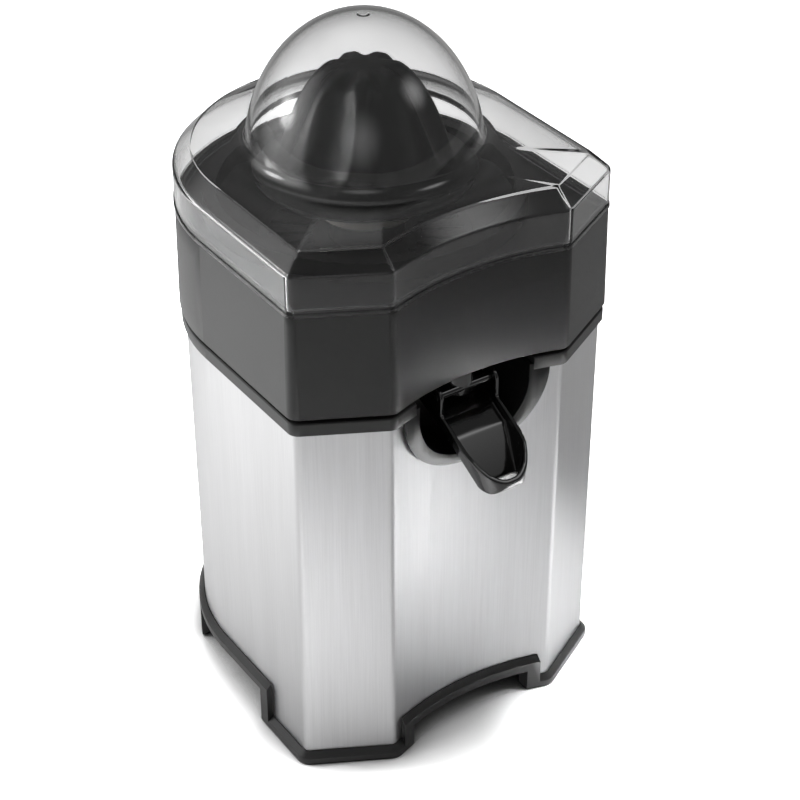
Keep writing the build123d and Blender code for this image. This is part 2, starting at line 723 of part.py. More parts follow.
# Nozzle let into the collector's floor, with the hinge pins across its front
pin_out = spout_half + 0.4
nozzle = rod(nozzle_r, nozzle_end, floor_low, 0, nozzle_y)
nozzle += cross_rod(hinge_pin_r, -pin_out, pin_out, hinge_y, hinge_z)
nodes["juice_nozzle"] = nozzle - rod(nozzle_bore, 0, floor_low, 0, nozzle_y)

# Spout: open scoop whose floor dives to an outlet in the nose, hung on the nozzle's pins
bend_z = top_line(bend_y) - bend_depth
back_z = top_line(-spout_back) - spout_depth
ramp_end_z = bend_z + tan(radians(ramp_slope)) * (ramp_end_y - bend_y)
skin_y = spout_wall * sin(radians(ramp_slope))
skin_z = spout_wall * cos(radians(ramp_slope))
profile = make_face(
    Polyline(
        (-spout_back, top_line(-spout_back)),
        (lip_y, top_line(lip_y)),
        (-spout_nose, lip_z),
        (-spout_nose, spout_tip_z),
        (ramp_end_y + skin_y, spout_tip_z),
        (ramp_end_y + skin_y, ramp_end_z - skin_z),
        (bend_y + skin_y, bend_z - skin_z),
        (-spout_back, back_z - spout_wall),
        close=True,
    )
)
tip = profile.vertices().sort_by_distance((-spout_nose, spout_tip_z))[0]
spout = extrude(Plane.YZ * fillet(tip, nose_round), spout_half, both=True) & spout_block(0)
scoop = make_face(
    Polyline(
        (0, back_z + (back_z - bend_z) / (-spout_back - bend_y) * spout_back),
        (bend_y, bend_z),
        (ramp_end_y, ramp_end_z),
        (ramp_end_y, 0),
        (-spout_nose, 0),
        (-spout_nose, 2 * steel_top),
        (0, 2 * steel_top),
        close=True,
    )
)
outlet = spout_plan(nose_half - spout_wall, spout_nose - spout_wall)
bore_block = spout_block(spout_wall) + Pos(0, 0, -steel_top) * extrude(outlet, 2 * steel_top)
spout -= extrude(Plane.YZ * scoop, spout_half, both=True) & bore_block
trough_half = spout_half - spout_wall
for sign in (-1, 1):
    x0, x1 = sorted((sign * trough_half, sign * spout_half))
    spout += cross_rod(ear_r, x0, x1, hinge_y, hinge_z)
    spout += block(x0, x1, hinge_y - ear_r, hinge_y + ear_r, top_line(hinge_y - ear_r) - 1, hinge_z)
spout -= cross_rod(hinge_pin_r + run_gap, -spout_half, spout_half, hinge_y, hinge_z)
nodes["spout"] = spout

# Strainer basket: deck, raised ring and funnel, with a seat for the strainer plate
basket_top = ledge_z + basket_t
plate_top = basket_floor_z + basket_t
basket_z = basket_floor_z - seat_t
basket = plate(-tub_wall - 2 * slide_gap, ledge_z, basket_top)
basket += rod(basket_ring_r, basket_top, basket_top + basket_ring_h)
basket += Pos(0, 0, basket_z) * Cone(
    basket_floor_r + basket_t, basket_hole_r + basket_t, basket_top - basket_z, align=UP
)
basket -= Pos(0, 0, plate_top) * Cone(basket_floor_r, basket_hole_r, basket_top - plate_top, align=UP)
basket -= rod(basket_hole_r, basket_top, basket_top + basket_ring_h)
basket -= rod(basket_floor_r, basket_floor_z, plate_top)
basket -= rod(basket_floor_r - seat_w, basket_z, basket_floor_z)
nodes["filter_basket"] = basket

# Strainer plate with its slots and the hub that carries the reamer collar
hub_lip = basket_floor_z - ring_t - 2 * slide_gap
strainer = rod(basket_floor_r - fit_gap, basket_floor_z, plate_top)
strainer += rod(basket_hub_r, hub_lip, basket_hub_top)
strainer += rod(basket_hub_r + seat_w, hub_lip - seat_t, hub_lip)
strainer -= rod(chimney_r + 1, 0, tub_top)
slot_start = collar_r + 3
slot_end = basket_floor_r - seat_w - 2
slot_bar = block(slot_start, slot_end, -slot_w / 2, slot_w / 2, 0, plate_top)
slot_set = [Rot(0, 0, 360 * n / basket_slots) * slot_bar for n in range(basket_slots)]
nodes["strainer_plate"] = strainer - slot_set

# Pulp ring under the strainer plate, turned by a tab to cover the slots
ring_top = basket_floor_z - slide_gap
ring_r = basket_floor_r - seat_w - slide_gap
pulp = tube(ring_r, basket_hub_r + slide_gap, ring_top - ring_t, ring_top)
tab_top = basket_z - 2 * slide_gap
pulp += block(-tab_half, tab_half, -basket_floor_r - tab_len, -ring_r + 2, tab_top - tab_t, tab_top)
nodes["pulp_ring"] = pulp - slot_set

# Reamer and the collar it turns on
nodes["reamer_collar"] = tube(collar_r, basket_hub_r + slide_gap, collar_z - collar_h, collar_z)
cone_h = reamer_top - cone_z
crown = [(cone_r * i / 6, reamer_top - cone_h * (i / 6) ** crown_power) for i in range(7)]
side_slope = (cone_r, -crown_power * cone_h)
skirt_middle = (cone_r + 0.32 * (skirt_r - cone_r), skirt_z + 0.42 * (cone_z - skirt_z))
reamer_face = make_face(
    [
        Line((0, skirt_z), (0, reamer_top)),
        Spline(crown, tangents=[(1, 0), side_slope]),
        Spline([(cone_r, cone_z), skirt_middle, (skirt_r, skirt_z)], tangents=[side_slope, (1, -0.35)]),
        Line((skirt_r, skirt_z), (0, skirt_z)),
    ]
)
body = revolve(Plane.XZ * reamer_face, Axis.Z)
cutter = Cone(flute_r, flute_tip_r, flute_len, align=UP) + Sphere(flute_r)
cutter = Pos(cone_r + flute_out, 0, cone_z + flute_rise) * Rot(0, -flute_tilt, 0) * cutter
for n in range(ridges):
    body -= Rot(0, 0, ridge_turn + 360 * (n + 0.5) / ridges) * cutter
hollow_z = cone_z - 4
under = Pos(0, 0, skirt_z) * Cone(skirt_r - 2 * skirt_t, collar_r + 3, hollow_z - skirt_z, align=UP)
body -= under - rod(2 * shaft_r, skirt_z, hollow_z)
body += tube(collar_r - 0.5, basket_hub_r + 1, collar_z, hollow_z + 1)
hex_bore = RegularPolygon(hex_half + run_gap, 6, major_radius=False)
body -= Pos(0, 0, skirt_z - 1) * extrude(hex_bore, shaft_top - skirt_z + 1)
nodes["reamer"] = body

# Clear cover: flanged wall, bevel, flat deck and blown dome
clear = cover_skin(0, tub_top)
clear += plate(-tub_draft + cover_lip, tub_top, tub_top + cover_lip_h)
clear += rod(gate_r, cover_z + dome_height - 1, cover_z + dome_height + 0.3)
clear -= cover_skin(cover_t, tub_top)
register_k = -tub_wall - slide_gap
register_well = plate(register_k - register_t, 0, wall_top)
clear += plate(register_k, basket_top + register_gap, tub_top + register_h) - register_well
clear += plate(-tub_draft - cover_t + fit_gap, tub_top, tub_top + register_h) - register_well
nodes["dust_cover"] = clear

for name, shape in nodes.items():
    export_step(Pos(0, axis_y, 0) * shape, f"parts/{name}.step")
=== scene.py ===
import math

import bpy
import numpy as np
from mathutils import Matrix, Vector


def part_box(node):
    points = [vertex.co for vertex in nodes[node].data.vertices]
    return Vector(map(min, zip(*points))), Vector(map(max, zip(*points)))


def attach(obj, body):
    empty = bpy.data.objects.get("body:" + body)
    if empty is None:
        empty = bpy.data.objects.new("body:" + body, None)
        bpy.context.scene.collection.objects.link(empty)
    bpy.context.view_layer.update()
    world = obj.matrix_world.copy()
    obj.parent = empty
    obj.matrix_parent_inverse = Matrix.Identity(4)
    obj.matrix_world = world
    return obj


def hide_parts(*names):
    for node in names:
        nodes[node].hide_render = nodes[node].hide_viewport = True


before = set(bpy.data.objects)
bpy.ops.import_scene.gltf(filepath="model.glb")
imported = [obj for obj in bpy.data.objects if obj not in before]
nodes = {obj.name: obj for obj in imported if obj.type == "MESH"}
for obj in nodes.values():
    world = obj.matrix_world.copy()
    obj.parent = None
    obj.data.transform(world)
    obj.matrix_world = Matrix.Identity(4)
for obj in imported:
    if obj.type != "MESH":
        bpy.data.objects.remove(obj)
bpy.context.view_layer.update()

MM = 0.001
AXIS_Y = sum(corner[1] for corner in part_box("drive_shaft")) / 2

# Finishes. Real brushing, mould grain and tool marks are finer than 0.2 mm and would not show, so they
# are drawn as coarse as they need to be.
STREAK_WIDE, STREAK_LONG, STREAK_DEPTH = 0.7 * MM, 40 * MM, 0.02 * MM
CLOUD_WIDE, CLOUD_LONG = 14 * MM, 300 * MM
STREAK_RANGE = {"From Min": 0.7, "From Max": 1.3}
STREAK_ROUGH = {"To Min": 0.30, "To Max": 0.40}
MOTTLE_WIDE, MOTTLE_SHARE, GRAIN_SHARE, PLASTIC_IOR = 22 * MM, 0.14, 0.12, 1.52
FLOW_WIDE, FLOW_DEPTH, STYRENE_IOR = 30 * MM, 0.05 * MM, 1.5
MARK_DEPTH, MARK_DARK, MARK_SHARE = 0.02 * MM, 0.8, 0.25


def linear(code, share=1.0):
    """sRGB hex code as linear red, green, blue and alpha: the inverse of the sRGB curve, times a share."""
    parts = np.array([int(code[i : i + 2], 16) for i in (1, 3, 5)]) / 255
    low = parts / 12.92
    high = ((parts + 0.055) / 1.055) ** 2.4
    return (*(share * np.where(parts <= 0.04045, low, high)).tolist(), 1.0)


def add(tree, kind, sockets=None, **settings):
    """Adds one shader node; a socket's value is a plain value, or another node's output to link."""
    made = tree.nodes.new("ShaderNode" + kind)
    for key, value in settings.items():
        setattr(made, key, value)
    for key, value in (sockets or {}).items():
        if isinstance(value, bpy.types.NodeSocket):
            tree.links.new(value, made.inputs[key])
        else:
            made.inputs[key].default_value = value
    return made


def fresh(name):
    """An empty node material, its tree and its output."""
    material = bpy.data.materials.new(name)
    material.use_nodes = True
    material.node_tree.nodes.clear()
    return material, material.node_tree, add(material.node_tree, "OutputMaterial")


def in_scene(name, data):
    """A new object for a mesh, lamp or camera, linked into the scene."""
    made = bpy.data.objects.new(name, data)
    bpy.context.scene.collection.objects.link(made)
    return made


def brushed_stainless_steel():
    """Stainless sheet, brushed upright: fine streaks a few centimetres long, lamps blur to soft bands."""
    material, tree, out = fresh("brushed_stainless_steel")
    place = add(tree, "TexCoord").outputs["Object"]
    fine_scale = (1 / STREAK_WIDE, 1 / STREAK_WIDE, 1 / STREAK_LONG)
    broad_scale = (1 / CLOUD_WIDE, 1 / CLOUD_WIDE, 1 / CLOUD_LONG)
    fine = add(tree, "Mapping", {"Vector": place, "Scale": fine_scale})
    broad = add(tree, "Mapping", {"Vector": place, "Scale": broad_scale})
    streak = add(tree, "TexNoise", {"Vector": fine.outputs[0], "Scale": 1.0, "Detail": 3.0, "Roughness": 0.6})
    cloud = add(tree, "TexNoise", {"Vector": broad.outputs[0], "Scale": 1.0, "Detail": 2.0})
    both = add(tree, "Math", {0: streak.outputs[0], 1: cloud.outputs[0]}, operation="ADD")
    tone = add(tree, "MapRange", {"Value": both.outputs[0], **STREAK_RANGE})
    colour = add(tree, "Mix", {0: tone.outputs[0], 6: linear("#c6c6c7"), 7: linear("#d2d2d3")},
                 data_type="RGBA")
    rough = add(tree, "MapRange", {"Value": both.outputs[0], **STREAK_RANGE, **STREAK_ROUGH})
    bump = add(tree, "Bump", {"Height": streak.outputs[0], "Strength": 0.12, "Distance": STREAK_DEPTH})
    shade = add(tree, "BsdfPrincipled", {
        "Base Color": colour.outputs[2], "Metallic": 1.0, "Roughness": rough.outputs[0],
        "Normal": bump.outputs[0],
    })
    tree.links.new(shade.outputs[0], out.inputs[0])
    return material


def moulded_plastic(name, code, rough, grain, depth, level=0.5):
    """Moulded plastic: an even colour with a faint mottle, and gloss broken by the mould's grain, whose
    width and depth are in millimetres."""
    material, tree, out = fresh(name)
    place = add(tree, "TexCoord").outputs["Object"]
    mould = add(tree, "TexNoise", {"Vector": place, "Scale": 1 / (grain * MM), "Detail": 3.0,
                                   "Roughness": 0.6})
    mottle = add(tree, "TexNoise", {"Vector": place, "Scale": 1 / MOTTLE_WIDE, "Detail": 2.0})
    dark, pale = linear(code, 1 - MOTTLE_SHARE), linear(code, 1 + MOTTLE_SHARE)
    colour = add(tree, "Mix", {0: mottle.outputs[0], 6: dark, 7: pale}, data_type="RGBA")
    gloss = add(tree, "MapRange", {"Value": mould.outputs[0], "To Min": rough * (1 - GRAIN_SHARE),
                                   "To Max": rough * (1 + GRAIN_SHARE)})
    bump = add(tree, "Bump", {"Height": mould.outputs[0], "Strength": 0.5, "Distance": depth * MM})
    shade = add(tree, "BsdfPrincipled", {
        "Base Color": colour.outputs[2], "Roughness": gloss.outputs[0], "Normal": bump.outputs[0],
        "IOR": PLASTIC_IOR, "Specular IOR Level": level,
    })
    tree.links.new(shade.outputs[0], out.inputs[0])
    return material


def clear_styrene():
    """Clear moulded styrene: bright edges, a faint smoke where it is seen through its length."""
    material, tree, out = fresh("clear_styrene")
    place = add(tree, "TexCoord").outputs["Object"]
    wave = add(tree, "TexNoise", {"Vector": place, "Scale": 1 / FLOW_WIDE, "Detail": 1.0})
    bump = add(tree, "Bump", {"Height": wave.outputs[0], "Strength": 0.2, "Distance": FLOW_DEPTH})
    shade = add(tree, "BsdfPrincipled", {
        "Base Color": linear("#f4f4f4"), "Roughness": 0.03, "IOR": STYRENE_IOR,
        "Transmission Weight": 1.0, "Normal": bump.outputs[0],
    })
    tree.links.new(shade.outputs[0], out.inputs[0])
    return material


def worked_metal(name, code, rough, grain):
    """Turned, stamped or drawn metal: an even tone with fine tool marks, whose width is in millimetres."""
    material, tree, out = fresh(name)
    place = add(tree, "TexCoord").outputs["Object"]
    marks = add(tree, "TexNoise", {"Vector": place, "Scale": 1 / (grain * MM), "Detail": 4.0})
    colour = add(tree, "Mix", {0: marks.outputs[0], 6: linear(code, MARK_DARK), 7: linear(code)},
                 data_type="RGBA")
    gloss = add(tree, "MapRange", {"Value": marks.outputs[0], "To Min": rough * (1 - MARK_SHARE),
                                   "To Max": rough * (1 + MARK_SHARE)})
    bump = add(tree, "Bump", {"Height": marks.outputs[0], "Strength": 0.3, "Distance": MARK_DEPTH})
    shade = add(tree, "BsdfPrincipled", {
        "Base Color": colour.outputs[2], "Metallic": 1.0, "Roughness": gloss.outputs[0],
        "Normal": bump.outputs[0],
    })
    tree.links.new(shade.outputs[0], out.inputs[0])
    return material


steel = brushed_stainless_steel()
# Collector: nearly black, with a soft and even sheen
satin_black = moulded_plastic("satin_black_abs", "#262626", rough=0.36, grain=0.7, depth=0.03)
# Foot and upper trims: a little duller, from a grained mould
trim_black = moulded_plastic("grained_black_abs", "#242424", rough=0.40, grain=0.9, depth=0.05)
# Spout and nozzle: deep black, lamps show in it sharply
gloss_black = moulded_plastic("gloss_black_abs", "#0c0c0c", rough=0.10, grain=1.2, depth=0.004,
                              level=0.9)
# Bezel round the spout: deep black with a dim sheen
surround_black = moulded_plastic("semi_gloss_black_abs", "#141414", rough=0.36, grain=1.0, depth=0.02,
                                 level=0.3)
# Reamer: charcoal, with broad soft lights along its ridges
reamer_black = moulded_plastic("polished_black_polypropylene", "#222222", rough=0.48, grain=0.8,
                               depth=0.02)
# Basket, strainer and pulp ring: deep black with a soft sheen
basket_black = moulded_plastic("moulded_black_polypropylene", "#1b1b1b", rough=0.38, grain=0.8,
                               depth=0.03)
# Feet, grommet and seal: matt black without clear lights
rubber = moulded_plastic("black_rubber", "#1c1c1c", rough=0.75, grain=0.5, depth=0.06)
# Gears, thrust cap, collar and fan: milky white and waxy
acetal = moulded_plastic("white_acetal", "#e4e1d8", rough=0.40, grain=0.8, depth=0.02)
# Terminal block and switch lever: ivory and waxy
nylon = moulded_plastic("natural_nylon", "#d9d2c0", rough=0.45, grain=0.8, depth=0.02)
# Switch body: brownish black and dull
phenolic = moulded_plastic("dark_phenolic", "#2b2522", rough=0.50, grain=0.6, depth=0.03)
# Motor chassis: plain mid grey
grey_plastic = moulded_plastic("grey_polypropylene", "#8a8c8e", rough=0.45, grain=0.8, depth=0.03)
clear = clear_styrene()
# Shafts, pins, pinion and spring: bright, with fine marks
turned_steel = worked_metal("turned_steel", "#c4c4c2", rough=0.25, grain=0.5)
# Screws, motor brackets and clip: pale bluish grey with soft glints
plated_steel = worked_metal("zinc_plated_steel", "#b9bcbf", rough=0.35, grain=0.8)
# Motor cores: dull dark grey
silicon_steel = worked_metal("laminated_silicon_steel", "#7f8184", rough=0.45, grain=0.5)
# Windings: warm red brown under a clear coat
copper = worked_metal("enamelled_copper_wire", "#b5622d", rough=0.30, grain=0.4)
# Bushes: dull yellow brown with fine pores
bronze = worked_metal("sintered_bronze", "#a9824a", rough=0.45, grain=0.4)

FINISHES = {
    steel: ["steel_front", "steel_wrap"],
    satin_black: ["juice_collector"],
    surround_black: ["spout_surround"],
    trim_black: ["base_frame", "upper_trim"],
    gloss_black: ["spout", "juice_nozzle"],
    reamer_black: ["reamer"],
    basket_black: ["filter_basket", "strainer_plate", "pulp_ring"],
    rubber: ["rubber_feet", "cord_grommet", "shaft_seal"],
    acetal: ["gear_cover", "idler_gear", "output_gear", "thrust_cap", "reamer_collar", "motor_fan"],
    nylon: ["terminal_block", "switch_lever"],
    phenolic: ["switch_body"],
    grey_plastic: ["motor_chassis"],
    clear: ["dust_cover"],
    turned_steel: ["drive_shaft", "rotor_shaft", "idler_pin", "switch_pin", "motor_pinion", "return_spring"],
    plated_steel: ["base_screws", "chassis_screws", "gear_cover_screws", "motor_screws", "switch_screws",
                   "motor_bracket_upper", "motor_bracket_lower", "shaft_clip"],
    silicon_steel: ["stator_core", "rotor_core"],
    copper: ["stator_coils"],
    bronze: ["shaft_bush_upper", "shaft_bush_lower", "rotor_bushes"],
}
for finish, names in FINISHES.items():
    for name in names:
        mesh = nodes[name].data
        mesh.materials.clear()
        mesh.materials.append(finish)

# New pieces, in millimetres about the reamer axis; the body's plan outline is the part's own
HALF_WIDTH, FRONT_HALF, FRONT_Y, SHOULDER_Y = 83.0, 44.4, -89.6, -69.1
FRONT_SAG, BACK_Y, CORNER_R, LEAST_CORNER_R = 8.0, 2.8, 6.0, 1.2
FRONT_R = (FRONT_HALF**2 + FRONT_SAG**2) / (2 * FRONT_SAG)
FRONT_CENTRE_Y = FRONT_Y + FRONT_SAG - FRONT_R
SLANT = np.array([FRONT_HALF - HALF_WIDTH, FRONT_Y - SHOULDER_Y])
SLANT = SLANT / np.hypot(*SLANT)
SLANT_NORMAL = math.atan2(SLANT[0], -SLANT[1])
BACK_STEPS, FLANK_STEPS, CORNER_STEPS, SLANT_STEPS, FRONT_STEPS = 60, 24, 10, 18, 30
ROUND_POINTS, HOLD, HOLD_SHARE = 5, 0.5, 0.3


def steps(count, eased=False):
    """Even parts of 0 to 1 without the end; eased, they crowd towards both ends by a half cosine."""
    even = np.arange(count) / count
    return (1 - np.cos(np.pi * even)) / 2 if eased else even


def sharp_corners(k):
    """Shoulder and front corners of the outline moved outward by k: where the moved flank, slant and
    front arc meet."""
    dx, dy = SLANT
    side_x = HALF_WIDTH + k
    side_y = SHOULDER_Y + dx * k + dy * (k + dy * k) / dx
    reach = FRONT_R - k
    along = side_x * dx + (side_y - FRONT_CENTRE_Y) * dy
    gap = side_x**2 + (side_y - FRONT_CENTRE_Y) ** 2 - reach**2
    run = -along - np.sqrt(along**2 - gap)
    return side_x, side_y, side_x + run * dx, side_y + run * dy


def outline_rings(k):
    """Rings of the plan outline moved outward by each k: half-round back, flank, shoulder, slant, front
    corner and concave front of the right half, then their mirror image. Corner rounds sit on the corners
    moved in by their radius."""
    k = np.asarray(k, float)[:, None]
    r = np.maximum(CORNER_R + k, LEAST_CORNER_R)
    wide, front_r = HALF_WIDTH + k, FRONT_R - k
    ax, ay, bx, by = sharp_corners(k - r)
    back = np.pi / 2 * (1 - steps(BACK_STEPS)[None])
    flank = steps(FLANK_STEPS, eased=True)[None]
    shoulder = SLANT_NORMAL * steps(CORNER_STEPS)[None]
    slant = steps(SLANT_STEPS, eased=True)[None]
    turned = np.arctan2(FRONT_CENTRE_Y - by, -bx)
    nose = SLANT_NORMAL + (turned - SLANT_NORMAL) * steps(CORNER_STEPS)[None]
    start = np.arctan2(by - FRONT_CENTRE_Y, bx)
    front = start + (np.pi / 2 - start) * steps(FRONT_STEPS)[None]
    cos_n, sin_n = np.cos(SLANT_NORMAL), np.sin(SLANT_NORMAL)
    x = np.hstack([
        wide * np.cos(back), wide + 0 * flank, ax + r * np.cos(shoulder),
        ax + r * cos_n + (bx - ax) * slant, bx + r * np.cos(nose), front_r * np.cos(front),
    ])
    y = np.hstack([
        BACK_Y + wide * np.sin(back), BACK_Y + (ay - BACK_Y) * flank, ay + r * np.sin(shoulder),
        ay + r * sin_n + (by - ay) * slant, by + r * np.sin(nose),
        FRONT_CENTRE_Y + front_r * np.sin(front),
    ])
    middle = np.stack([0 * k, FRONT_CENTRE_Y + front_r], axis=2)
    right = np.stack([x, y], axis=2)
    left = right[:, :0:-1] * (-1, 1)
    return np.concatenate([right, middle, left], axis=1)


def rounded(corners):
    """Profile through corners (across, height, radius), each swapped for a parabola that touches both
    sides one radius from the corner, with one more point a little further along each side to hold the
    flats flat."""
    corners = np.asarray(corners, float)
    point, reach = corners[:, :2], corners[:, 2:]
    before = np.vstack([2 * point[0] - point[1], point[:-1]]) - point
    after = np.vstack([point[1:], 2 * point[-1] - point[-2]]) - point
    before_len = np.linalg.norm(before, axis=1, keepdims=True)
    after_len = np.linalg.norm(after, axis=1, keepdims=True)
    before, after = before / before_len, after / after_len
    other_before = np.vstack([reach[:1], reach[:-1]])
    other_after = np.vstack([reach[1:], reach[-1:]])
    more_before = np.minimum(HOLD, HOLD_SHARE * (before_len - reach - other_before))
    more_after = np.minimum(HOLD, HOLD_SHARE * (after_len - reach - other_after))
    s = np.linspace(0, 1, ROUND_POINTS)[None, :, None]
    first, last = (point + reach * before)[:, None], (point + reach * after)[:, None]
    bend = (1 - s) ** 2 * first + 2 * s * (1 - s) * point[:, None] + s**2 * last
    lead = (point + (reach + more_before) * before)[:, None]
    trail = (point + (reach + more_after) * after)[:, None]
    return np.concatenate([lead, bend, trail], axis=1).reshape(-1, 2)


def lifted(rings, heights):
    """Plan rings with a height each, or a height for every point, as points in space."""
    heights = np.broadcast_to(np.reshape(heights, (len(rings), -1, 1)), rings.shape[:2] + (1,))
    return np.concatenate([rings, heights], axis=2)


def skin(rings, poles):
    """Points and faces of rings joined row to row, with a pole that closes the first ring and one that
    closes the last. Faces are turned where the enclosed volume, the sum of the cones from the origin, is
    negative."""
    rows, columns = rings.shape[:2]
    here = np.arange(rows * columns).reshape(rows, columns)
    there = np.roll(here, -1, axis=1)
    quads = np.stack([here[:-1], here[1:], there[1:], there[:-1]], axis=2).reshape(-1, 4)
    points = np.vstack([rings.reshape(-1, 3), poles])
    first, last = rows * columns, rows * columns + 1
    fans = np.vstack([
        np.stack([np.full(columns, first), here[0], there[0]], axis=1),
        np.stack([np.full(columns, last), there[-1], here[-1]], axis=1),
    ])
    corner = points[np.vstack([quads[:, :3], quads[:, [0, 2, 3]], fans])]
    volume = np.einsum("ij,ij->i", corner[:, 0], np.cross(corner[:, 1], corner[:, 2])).sum()
    if volume < 0:
        quads, fans = quads[:, ::-1], fans[:, ::-1]
    return points, quads.tolist() + fans.tolist()


def piece(name, shape, finish, body, node):
    """One smooth mesh from a skin's points and faces, in metres in the shared frame, riding on a body in
    place of a CAD node."""
    points, faces = shape
    mesh = bpy.data.meshes.new(name)
    mesh.from_pydata((points * MM + (0, AXIS_Y, 0)).tolist(), [], faces)
    mesh.polygons.foreach_set("use_smooth", np.ones(len(faces), bool))
    mesh.materials.append(finish)
    made = in_scene(name, mesh)
    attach(made, body)
    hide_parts(node)


# Clear cover: lip, wall, bevel, deck and blown dome
RIM_Z, LIP_Z, WALL_Z, DECK_Z = 243.8, 245.8, 262.2, 269.7
LIP_K, WALL_K, DECK_K, COVER_T = -0.4, -0.9, -8.5, 2.0
REGISTER_K, REGISTER_IN_K, REGISTER_Z = -3.9, -5.5, 242.3
DOME_R, DOME_RISE, DOME_SINK, DOME_BLEND = 52.5, 58.9, 6.2, 6.0
DOME_ROWS, BLEND_ROWS, BLEND_TABLE = 36, 9, 4000
GATE_R, GATE_EDGE, GATE_H = 2.5, 0.2, 0.3
GATE_ROWS = np.array([0.7, 1.4, 2.0, 2.3, 2.5, 2.7, 3.0, 3.6])


def dome_profile(shrink):
    """Radii and heights of the dome from its top to the deck, and its top: a half ellipse, then a round
    blend that touches both the ellipse and the deck. The ellipse angle where they touch is read off a
    table of blend levels."""
    level, blend, wide = DECK_Z - shrink, DOME_BLEND + shrink, DOME_R - shrink
    base = DECK_Z - DOME_SINK
    tall = level + DOME_RISE - base
    angle = np.linspace(0, np.pi / 4, BLEND_TABLE)
    size = np.hypot(np.cos(angle) / wide, np.sin(angle) / tall)
    lean = np.sin(angle) / tall / size
    touch = np.interp(level, base + tall * np.sin(angle) + blend * lean - blend, angle)
    out, up = np.cos(touch) / wide, np.sin(touch) / tall
    out, up = out / np.hypot(out, up), up / np.hypot(out, up)
    foot_r = wide * np.cos(touch) + blend * out
    near_top = np.arccos(GATE_ROWS / wide)
    sweep = np.concatenate([near_top, np.linspace(near_top[-1], touch, DOME_ROWS)[1:]])
    turn = np.linspace(np.pi + np.arctan2(up, out), 1.5 * np.pi, BLEND_ROWS)[1:]
    radius = np.concatenate([wide * np.cos(sweep), foot_r + blend * np.cos(turn)])
    height = np.concatenate([base + tall * np.sin(sweep), level + blend + blend * np.sin(turn)])
    return radius, height, base + tall


def clear_cover():
    """Rings from the top of the dome over its outside to the rim, and back up the inside: circles for the
    dome, outlines for the rest, with the moulding gate as a low button on top. The inner corners of the
    bevel are moved by the wall times the tangent of half the turn there, which keeps the wall even."""
    edge = math.tan(math.pi / 8) * COVER_T
    sides = rounded([
        (DECK_K, DECK_Z, 0.9), (WALL_K, WALL_Z, 1.1), (WALL_K, LIP_Z, 0.2), (LIP_K, LIP_Z, 0.25),
        (LIP_K, RIM_Z, 0.35), (REGISTER_K, RIM_Z, 0.2), (REGISTER_K, REGISTER_Z, 0.3),
        (REGISTER_IN_K, REGISTER_Z, 0.3), (REGISTER_IN_K, LIP_Z, 0.3), (WALL_K - COVER_T, LIP_Z, 0.4),
        (WALL_K - COVER_T, WALL_Z - edge, 0.7), (DECK_K - edge, DECK_Z - COVER_T, 0.7),
    ])
    outline = outline_rings([0.0])[0]
    spoke = outline / np.linalg.norm(outline, axis=1, keepdims=True)
    outer_r, outer_z, outer_top = dome_profile(0.0)
    inner_r, inner_z, inner_top = dome_profile(COVER_T)
    outer_z = outer_z + GATE_H * np.clip((GATE_R + GATE_EDGE - outer_r) / (2 * GATE_EDGE), 0, 1)
    rings = np.concatenate([
        lifted(outer_r[:, None, None] * spoke, outer_z),
        lifted(outline_rings(sides[:, 0]), sides[:, 1]),
        lifted(inner_r[::-1, None, None] * spoke, inner_z[::-1]),
    ])
    return skin(rings, [(0, 0, outer_top + GATE_H), (0, 0, inner_top)])


# Reamer: domed cone with hollow flutes over a flared skirt
REAMER_TOP, CONE_R, CONE_Z, CROWN_POWER = 306.5, 37.0, 267.6, 2.9
SKIRT_R, SKIRT_Z, SKIRT_EDGE = 49.1, 256.1, 0.9
CONE_PULL, RIM_PULL = 6.5, (-6.6, 2.3)
RIDGES, RIDGE_TURN, CREST_ROUND = 7, 28.3, 0.9
FLUTE_R, FLUTE_TIP_R, FLUTE_LEN, FLUTE_TILT = 20.0, 10.4, 42.5, 36.9
FLUTE_X, FLUTE_Z = 47.9, 282.0
LOBE_DEPTH, LOBE_RISE, LOBE_START, LOBE_END = 1.4, 1.6, 7.0, 17.0
HOLLOW_R, HOLLOW_TOP_R, HOLLOW_Z = 44.7, 24.0, 263.6
TUBE_R, TUBE_IN_R, TUBE_Z = 20.5, 17.5, 242.0
BOSS_R, HEX_HALF, BORE_TOP = 8.0, 3.34, 288.0
CROWN_ROWS, CROWN_START, FLARE_ROWS, RIDGE_COLUMNS = 60, 0.02, 25, 44
RAY_REACH, RAY_POINTS = 60, 241


def flute_depth(height, angle):
    """Distance from the axis to the flute's near side, level by level: the first point of each level ray
    inside the cutter, a slanting cone with a ball at its foot."""
    ray = np.linspace(0, RAY_REACH, RAY_POINTS)[None, None]
    x = ray * np.cos(angle)[None, :, None] - FLUTE_X
    y = ray * np.sin(angle)[None, :, None]
    z = height[:, :, None] - FLUTE_Z
    lean = math.radians(FLUTE_TILT)
    along = z * math.cos(lean) - x * math.sin(lean)
    off = np.sqrt(np.maximum(x**2 + y**2 + z**2 - np.maximum(along, 0) ** 2, 0))
    room = off - FLUTE_R + (FLUTE_R - FLUTE_TIP_R) * np.clip(along / FLUTE_LEN, 0, 1)
    hit = np.argmax(room < 0, axis=2)
    after = np.take_along_axis(room, hit[..., None], 2)[..., 0]
    before = np.take_along_axis(room, np.maximum(hit - 1, 0)[..., None], 2)[..., 0]
    pitch = ray[0, 0, 1]
    near = pitch * (hit - 1 + before / np.where(hit > 0, before - after, 1))
    return np.where(hit > 0, near, RAY_REACH)


